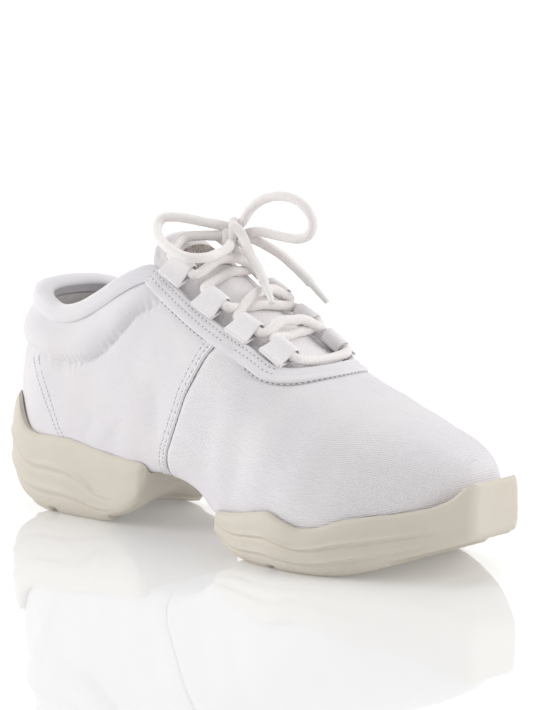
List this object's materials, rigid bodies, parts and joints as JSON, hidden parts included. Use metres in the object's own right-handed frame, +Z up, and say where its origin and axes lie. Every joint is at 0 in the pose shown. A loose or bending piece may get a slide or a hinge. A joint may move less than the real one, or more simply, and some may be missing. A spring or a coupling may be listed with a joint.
{
  "type": "dance sneaker",
  "caption": "Low canvas dance sneaker with a split rubber sole, padded collar, webbing lace loops and a lace tied in a bow.",
  "frame": {"origin": "middle of the shoe's bounding box, on the floor that it stands on", "axes": "+X towards the toe, +Y towards the inner side of the foot, +Z up"},
  "size_m": [0.252, 0.0947, 0.1416],
  "materials": {
    "canvas": "matte twill",
    "rubber": "matte",
    "lining": "brushed textile",
    "tape": "woven tape",
    "lace": "braided",
    "aglet": "clear wrap"
  },
  "bodies": {
    "root": {"forefoot_sole": "rubber", "heel_sole": "rubber", "upper": "canvas", "insole": "lining", "tongue": "canvas", "collar_and_eyestay_band": "canvas", "lateral_vamp_seam": "canvas", "medial_vamp_seam": "canvas", "lace_crossings": "lace", "lace_knot": "lace", "lateral_bow_loop": "lace", "medial_bow_loop": "lace", "lateral_lace_end": "lace", "medial_lace_end": "lace", "lateral_aglet": "aglet", "medial_aglet": "aglet", "lateral_lace_loop_1": "tape", "lateral_lace_loop_2": "tape", "lateral_lace_loop_3": "tape", "lateral_lace_loop_4": "tape", "medial_lace_loop_1": "tape", "medial_lace_loop_2": "tape", "medial_lace_loop_3": "tape", "medial_lace_loop_4": "tape"}
  },
  "joints": []
}
